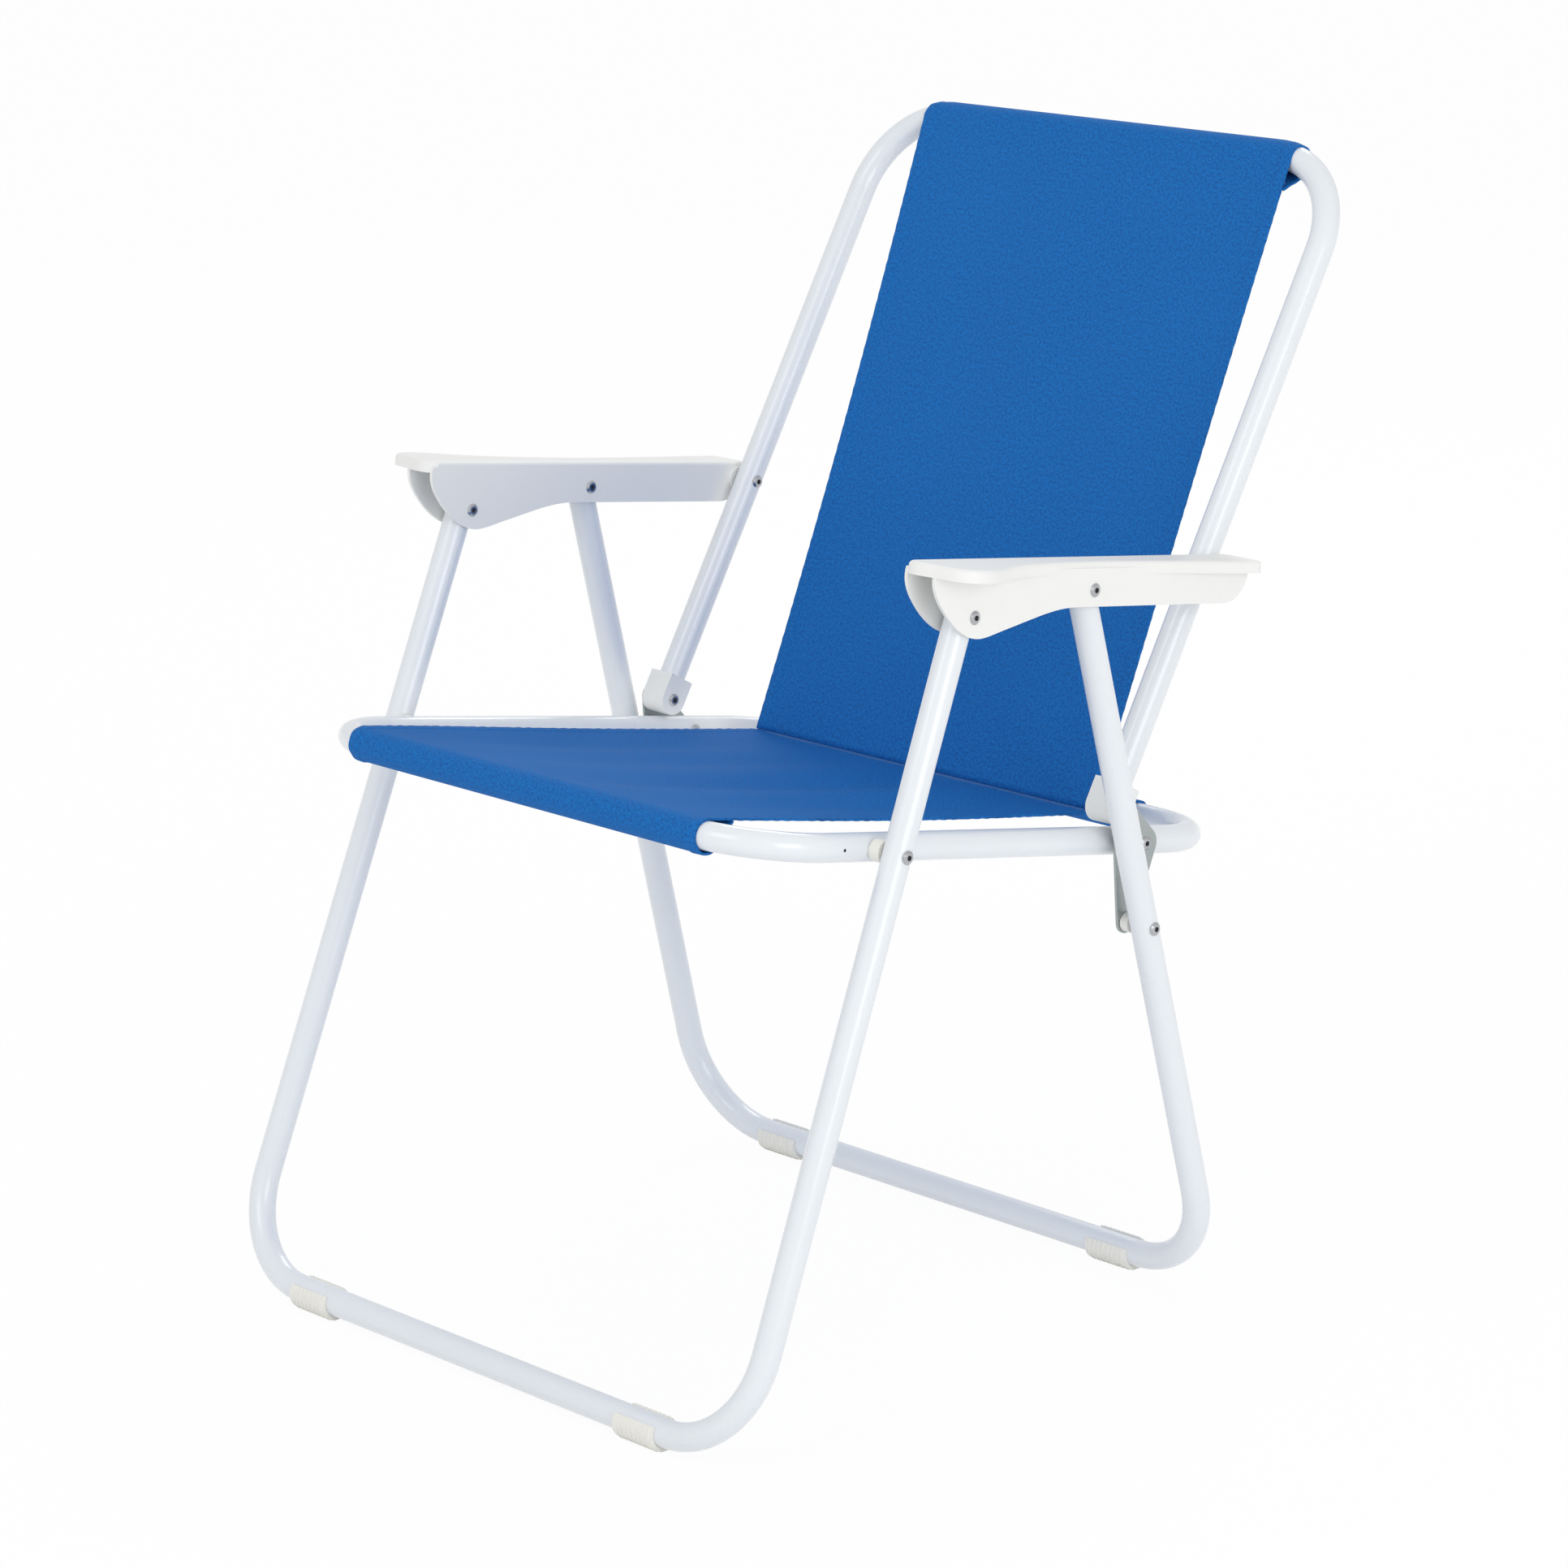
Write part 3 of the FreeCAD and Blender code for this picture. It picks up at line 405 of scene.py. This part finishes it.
def grid_normals(points):
    """Unit normals of a grid, from its rows and columns."""
    down = np.gradient(points, axis=0)
    across = np.gradient(points, axis=1)
    n = np.cross(across, down)
    return n / np.linalg.norm(n, axis=-1, keepdims=True)


def side_grid(origin, along, out, flat, x):
    """Rows x columns of points: flat holds (along, out) for each, x the place across."""
    yz = origin + flat[..., 0:1] * along + flat[..., 1:2] * out
    return np.concatenate([x[..., None], yz], -1)


def run_length(points):
    """Distance along the middle column at each row."""
    middle = points[:, points.shape[1] // 2]
    steps = np.linalg.norm(np.diff(middle, axis=0), axis=1)
    return np.concatenate([[0], np.cumsum(steps)])


def slow_waves(x, share, sizes):
    """Broad lengthwise waves that die out at both ends of a panel."""
    ends = np.sin(np.pi * np.clip(share, 0, 1)) ** 0.8
    return ends * sum(depth * np.cos(2 * np.pi * x / width + turn) for depth, width, turn in sizes)


def seat_cloth():
    """Seat: one length of cloth from the front sleeve's seam, over both bars, to the rear sleeve's seam."""
    span = rear_bar - front_bar
    reach = float(np.hypot(*span))
    along = span / reach
    out = np.array([-along[1], along[0]])
    crease = (seam_corner.y - front_bar[0]) / along[0] / reach
    front = sleeve_rows(FLAT_ROWS, SEAT_WRAP_ROWS, FRONT_SLEEVE)
    rear = sleeve_rows(FLAT_ROWS, SEAT_WRAP_ROWS, REAR_SLEEVE, to_panel=False) * np.array([-1, 1])
    share = np.linspace(0, 1, SEAT_PANEL_ROWS)
    rows = len(front) + len(share) + len(rear)
    t = np.concatenate([np.zeros(len(front)), share, np.ones(len(rear))])[:, None]
    half = (SEAT_HALF - SEAT_TAPER * smooth(t / crease)
            - TAIL_TAPER * smooth((t - crease) / (0.8 - 0.8 * crease)))
    x = half * ACROSS[None, :]
    start, finish = bend_shift(x, SEAT_BEND), reach - bend_shift(x, SEAT_BEND)
    flat = np.zeros((rows, len(ACROSS), 2))
    flat[:len(front)] = front[:, None, :]
    flat[:len(front), :, 0] += start[:len(front)]
    middle = slice(len(front), len(front) + len(share))
    s, xm = t[middle], x[middle]
    edge = (xm / half[middle]) ** 2
    dip = SEAT_DIP * np.sin(np.pi * np.clip(s / crease, 0, 1)) ** 1.2 * (1 - 0.55 * edge)
    pull = CREASE_PULL * np.where(s < crease, smooth(s / crease), smooth((1 - s) / (1 - crease)))
    flat[middle, :, 0] = start[middle] + (finish - start)[middle] * s
    flat[middle, :, 1] = (WRAP_RADIUS - dip - pull
                          + slow_waves(xm, s / crease, SEAT_WAVES) * (1 - 0.6 * edge))
    flat[middle.stop:] = rear[:, None, :]
    flat[middle.stop:, :, 0] += finish[middle.stop:]
    points = side_grid(front_bar, along, out, flat, x)
    return points, half


def back_cloth(seat_points):
    """Back: a sleeve round the top bar and a panel down its front to the seam on the seat."""
    middle_column = seat_points[:, seat_points.shape[1] // 2]
    landing = middle_column[np.argmin(np.abs(middle_column[:, 1] - seam_corner.y)
                                      - 10 * (middle_column[:, 2] > seam_corner.z - 0.012))]
    foot = landing[1:] + np.array([0.0, 1.6 * CLOTH_THICKNESS])
    gap = foot - top_bar
    reach = float(np.hypot(*gap))
    lean = math.asin(WRAP_RADIUS / reach)
    down = math.atan2(gap[1], gap[0]) + lean
    along = np.array([math.cos(down), math.sin(down)])
    out = np.array([along[1], -along[0]])
    length = math.sqrt(reach ** 2 - WRAP_RADIUS ** 2)
    sleeve = sleeve_rows(FLAT_ROWS, BACK_WRAP_ROWS, BACK_SLEEVE)
    share = np.linspace(0, 1, BACK_PANEL_ROWS)
    t = np.concatenate([np.zeros(len(sleeve)), share])[:, None]
    half = BACK_HALF - BACK_TAPER * t - BACK_DRAW_IN * np.sin(np.pi * t)
    x = half * ACROSS[None, :]
    start = bend_shift(x, BACK_BEND)
    flat = np.zeros((len(t), len(ACROSS), 2))
    flat[:len(sleeve)] = sleeve[:, None, :]
    flat[:len(sleeve), :, 0] += start[:len(sleeve)]
    panel = slice(len(sleeve), None)
    s, xm = t[panel], x[panel]
    edge = (xm / half[panel]) ** 2
    bow = BACK_BOW * np.sin(np.pi * s) * (1 - 0.6 * edge)
    flat[panel, :, 0] = start[panel] + (length - start[panel]) * s
    flat[panel, :, 1] = WRAP_RADIUS - bow + slow_waves(xm, s, BACK_WAVES) * (1 - 0.6 * edge)
    points = side_grid(top_bar, along, out, flat, x)
    return points, half


def hemmed_sheet(name, points, half, front_sign):
    """Turns a grid into cloth with hems along its side edges. front_sign sets which face is the front."""
    normal = grid_normals(points) * front_sign
    x = points[..., 0]
    hem = hem_share(x, half)
    run = run_length(points)[:, None]
    pucker = 0.00022 * np.sin(2 * np.pi * run / 0.0105 + 3 * np.sign(x)) * hem
    points = points + normal * pucker[..., None]
    layers = (CLOTH_THICKNESS / 2 + 0.25 * HEM_EXTRA * hem, CLOTH_THICKNESS / 2 + 0.75 * HEM_EXTRA * hem)
    threads = np.stack([x, np.broadcast_to(run, x.shape)], -1)
    piece = cloth_mesh(name, points, normal, layers, threads, cloth_finish)
    return piece, points + normal * layers[0][..., None], normal


# ---------------------------------------------------------------- stitches

def stitch_shape(sides=8):
    """One stitch along +X, 1 long and 1 across, its ends dipping into the cloth: points and faces."""
    rings = [(-0.5, 0.15, -0.75), (-0.38, 0.75, -0.25), (-0.15, 1.0, 0.0), (0.15, 1.0, 0.0),
             (0.38, 0.75, -0.25), (0.5, 0.15, -0.75)]
    points, faces = [], []
    for along, width, drop in rings:
        for k in range(sides):
            a = 2 * math.pi * k / sides
            points.append((along, width * math.cos(a), width * math.sin(a) + drop))
    for i in range(len(rings) - 1):
        for k in range(sides):
            a, b = i * sides + k, i * sides + (k + 1) % sides
            faces.append((a, b, b + sides, a + sides))
    faces.append(tuple(reversed(range(sides))))
    faces.append(tuple(range((len(rings) - 1) * sides, len(rings) * sides)))
    return np.array(points), faces


STITCH_LENGTH, STITCH_STEP, STITCH_RADIUS = 0.0032, 0.0044, 0.00036


def stitch_row(path, normals):
    """Frames for stitches evenly spaced along a line of surface points."""
    steps = np.linalg.norm(np.diff(path, axis=0), axis=1)
    run = np.concatenate([[0], np.cumsum(steps)])
    count = int(run[-1] / STITCH_STEP)
    frames = []
    for i in range(count):
        here = (i + 0.5) * run[-1] / count
        at = np.array([np.interp(here, run, path[:, k]) for k in range(3)])
        ahead = np.array([np.interp(here + 0.0005, run, path[:, k]) for k in range(3)])
        behind = np.array([np.interp(here - 0.0005, run, path[:, k]) for k in range(3)])
        up = np.array([np.interp(here, run, normals[:, k]) for k in range(3)])
        forward = ahead - behind
        forward /= np.linalg.norm(forward)
        side = np.cross(up, forward)
        side /= np.linalg.norm(side)
        frames.append((at, forward, side, np.cross(forward, side)))
    return frames


def stitches(name, rows):
    """All the stitches of one cloth in one piece."""
    shape, faces = stitch_shape()
    verts, polys = [], []
    for frames in rows:
        for at, forward, side, up in frames:
            start = len(verts)
            placed = (at + shape[:, 0:1] * STITCH_LENGTH * forward + shape[:, 1:2] * STITCH_RADIUS * side
                      + (shape[:, 2:3] * STITCH_RADIUS + 0.00006) * up)
            verts.extend(placed.tolist())
            polys.extend(tuple(start + i for i in face) for face in faces)
    mesh = bpy.data.meshes.new(name)
    mesh.from_pydata(verts, [], polys)
    mesh.shade_smooth()
    mesh.materials.append(thread_finish)
    piece = bpy.data.objects.new(name, mesh)
    bpy.context.scene.collection.objects.link(piece)
    return piece


def across_line(surface, normal, row, trim=2):
    return surface[row, trim:-trim], normal[row, trim:-trim]


def along_line(surface, normal, column, rows):
    return surface[rows, column], normal[rows, column]


seat_points, seat_half = seat_cloth()
back_points, back_half = back_cloth(seat_points)
seat_piece, seat_face, seat_normal = hemmed_sheet("seat_cloth", seat_points, seat_half, -1)
back_piece, back_face, back_normal = hemmed_sheet("back_cloth", back_points, back_half, 1)
HEM_COLUMN = 4
SEAT_PANEL = slice(6, -6)
BACK_PANEL = slice(6, None)
seat_seams = [across_line(seat_face, seat_normal, r)
              for r in (2, -3, SEAT_SLEEVE_ROWS + 6, -SEAT_SLEEVE_ROWS - 7)]
seat_seams += [along_line(seat_face, seat_normal, c, SEAT_PANEL) for c in (HEM_COLUMN, -HEM_COLUMN - 1)]
back_seams = [across_line(back_face, back_normal, r) for r in (2, BACK_SLEEVE_ROWS + 7, -2)]
back_seams += [along_line(back_face, back_normal, c, BACK_PANEL) for c in (HEM_COLUMN, -HEM_COLUMN - 1)]
seat_thread = stitches("seat_stitches", [stitch_row(*seam) for seam in seat_seams])
back_thread = stitches("back_stitches", [stitch_row(*seam) for seam in back_seams])

for piece, body in ((seat_piece, "seat"), (seat_thread, "seat"), (back_piece, "back_cloth"),
                    (back_thread, "back_cloth")):
    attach(piece, body)
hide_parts("seat_sling")
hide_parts("back_sling")


# ---------------------------------------------------------------- painted shade in the hollow middles of the rivets and in the rail vents

HOLLOW_RADIUS, HOLLOW_DEPTH, HEAD_RISE = 0.00178, 0.0004, 0.0013
VENT_RADIUS, VENT_DEPTH, VENT_AHEAD = 0.0011, 0.00003, 0.028
VENT_PROUD = 0.00004           # clear of the rail's wall


def dished_disc(place, facing, radius, depth, sides=20):
    """A round dished face on an axis along X: points and faces."""
    points, faces = [], []
    for share, sink in ((1.0, 0.0), (0.7, 0.55), (0.35, 0.9)):
        for k in range(sides):
            a = 2 * math.pi * k / sides
            points.append((place.x - facing * depth * sink, place.y + radius * share * math.cos(a),
                           place.z + radius * share * math.sin(a)))
    points.append((place.x - facing * depth, place.y, place.z))
    for r in range(2):
        for k in range(sides):
            a, b = r * sides + k, r * sides + (k + 1) % sides
            faces.append((a, b, b + sides, a + sides))
    faces += [(2 * sides + k, 2 * sides + (k + 1) % sides, 3 * sides) for k in range(sides)]
    return points, [f if facing > 0 else tuple(reversed(f)) for f in faces]


# Joins dark discs of painted shade into one piece riding on a body.
def painted_shade_piece(name, discs, body):
    verts, polys = [], []
    for points, faces in discs:
        start = len(verts)
        verts.extend(points)
        polys.extend(tuple(start + i for i in face) for face in faces)
    mesh = bpy.data.meshes.new(name)
    mesh.from_pydata(verts, [], polys)
    mesh.shade_smooth()
    mesh.materials.append(hollow_shade_paint)
    piece = bpy.data.objects.new(name, mesh)
    bpy.context.scene.collection.objects.link(piece)
    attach(piece, body)


# A dark dished disc at each end of each hollow rivet: painted shade inside its bore.
def rivet_hollow_shade():
    for body, members in frame["record"]["behaviour"]["bodies"].items():
        discs = []
        for node in members:
            if "rivet" not in node and "tail" not in node:
                continue
            low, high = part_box(node)
            middle = (low + high) / 2
            for x, facing in ((high.x - HEAD_RISE / 2, 1), (low.x + HEAD_RISE / 2, -1)):
                place = Vector((x, middle.y, middle.z))
                discs.append(dished_disc(place, facing, HOLLOW_RADIUS, HOLLOW_DEPTH))
        if discs:
            painted_shade_piece("rivet_hollow_shade_" + body, discs, body)


def rail_vent_shade():
    """The pin-sized vent in each seat rail, ahead of its rivet, as a shallow dark disc: painted shade of the
    hole.
    """
    low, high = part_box("seat_rivet_left")
    span = rear_bar - front_bar
    at = side_point((low.y + high.y) / 2, (low.z + high.z) / 2) - VENT_AHEAD * span / np.hypot(*span)
    face = RAIL_REACH + TUBE_RADIUS + VENT_PROUD
    painted_shade_piece("rail_vent_shade", [dished_disc(Vector((side * face, *at)), side, VENT_RADIUS, VENT_DEPTH)
                              for side in (1, -1)], "seat")


rivet_hollow_shade()
rail_vent_shade()


# ---------------------------------------------------------------- floor, light and camera

def floor_finish():
    """Pale floor that keeps the object's shadow but looks white to the camera."""
    material, tree, shader = finish_of("pale_floor")
    shader.inputs["Base Color"].default_value = (0.93, 0.93, 0.93, 1)
    shader.inputs["Roughness"].default_value = 0.9
    shader.inputs["Specular IOR Level"].default_value = 0.1
    glow = add(tree, "ShaderNodeEmission")
    rays = add(tree, "ShaderNodeLightPath")
    seen = maths(tree, "MAXIMUM", rays.outputs["Is Camera Ray"], rays.outputs["Is Glossy Ray"])
    seen = maths(tree, "MAXIMUM", seen, rays.outputs["Is Transmission Ray"])
    mix = add(tree, "ShaderNodeMixShader")
    wire(tree, maths(tree, "MULTIPLY", seen, 0.95), mix.inputs[0])
    wire(tree, shader.outputs[0], mix.inputs[1])
    wire(tree, glow.outputs[0], mix.inputs[2])
    wire(tree, mix.outputs[0], tree.nodes["Material Output"].inputs["Surface"])
    return material


def studio_floor():
    mesh = bpy.data.meshes.new("studio_floor")
    reach = 12.0
    mesh.from_pydata([(-reach, -reach, 0), (reach, -reach, 0), (reach, reach, 0), (-reach, reach, 0)], [],
                     [(0, 1, 2, 3)])
    mesh.materials.append(floor_finish())
    floor = bpy.data.objects.new("studio_floor", mesh)
    floor.location.z = -0.0003
    bpy.context.scene.collection.objects.link(floor)


def studio_world():
    """White to the camera and to glossy surfaces, plain soft light to everything else."""
    world = bpy.data.worlds.new("studio")
    bpy.context.scene.world = world
    world.use_nodes = True
    tree = world.node_tree
    tree.nodes.clear()
    soft = add(tree, "ShaderNodeBackground")
    soft.inputs["Color"].default_value = (0.985, 0.99, 1.0, 1)
    soft.inputs["Strength"].default_value = 0.80
    white = add(tree, "ShaderNodeBackground")
    rays = add(tree, "ShaderNodeLightPath")
    seen = maths(tree, "MAXIMUM", rays.outputs["Is Camera Ray"], rays.outputs["Is Transmission Ray"])
    seen = maths(tree, "MAXIMUM", seen, maths(tree, "MULTIPLY", rays.outputs["Is Glossy Ray"], 0.85))
    mix = add(tree, "ShaderNodeMixShader")
    wire(tree, seen, mix.inputs[0])
    wire(tree, soft.outputs[0], mix.inputs[1])
    wire(tree, white.outputs[0], mix.inputs[2])
    end = add(tree, "ShaderNodeOutputWorld")
    wire(tree, mix.outputs[0], end.inputs["Surface"])


def softbox(name, place, aim, size, power):
    lamp = bpy.data.lights.new(name, "AREA")
    lamp.shape = "SQUARE"
    lamp.size = size
    lamp.energy = power
    box = bpy.data.objects.new(name, lamp)
    box.location = place
    box.rotation_mode = "QUATERNION"
    box.rotation_quaternion = (Vector(aim) - Vector(place)).to_track_quat("-Z", "Y")
    bpy.context.scene.collection.objects.link(box)


CAMERA_PLACE = Vector((2.4712, -2.3051, 1.2758))
CAMERA_AZIMUTH, CAMERA_HEIGHT, CAMERA_ROLL = 47.293, 15.163, -1.67
CAMERA_LENS, CAMERA_SHIFT = 117.11, (0.0032, -0.0152)


def studio_camera():
    az, el, roll = (math.radians(v) for v in (CAMERA_AZIMUTH, CAMERA_HEIGHT, CAMERA_ROLL))
    right = Vector((math.cos(az), math.sin(az), 0))
    up = Vector((-math.sin(az) * math.sin(el), math.cos(az) * math.sin(el), math.cos(el)))
    back = Vector((math.sin(az) * math.cos(el), -math.cos(az) * math.cos(el), math.sin(el)))
    right, up = (math.cos(roll) * right + math.sin(roll) * up,
                 -math.sin(roll) * right + math.cos(roll) * up)
    lens = bpy.data.cameras.new("studio_camera")
    lens.sensor_width = 36
    lens.lens = CAMERA_LENS
    lens.shift_x, lens.shift_y = CAMERA_SHIFT
    camera = bpy.data.objects.new("studio_camera", lens)
    turn = Matrix((right, up, back)).transposed().to_4x4()
    camera.matrix_world = Matrix.Translation(CAMERA_PLACE) @ turn
    bpy.context.scene.collection.objects.link(camera)
    bpy.context.scene.camera = camera


studio_floor()
studio_world()
softbox("key_softbox", (0.2, -2.6, 2.4), (0, 0, 0.35), 1.4, 13)
softbox("fill_softbox", (3.0, -0.7, 1.2), (0, 0, 0.35), 1.5, 21)
softbox("back_softbox", (-1.6, 2.2, 2.4), (0, 0, 0.4), 1.2, 14)
studio_camera()
bpy.context.scene.view_settings.view_transform = "Standard"
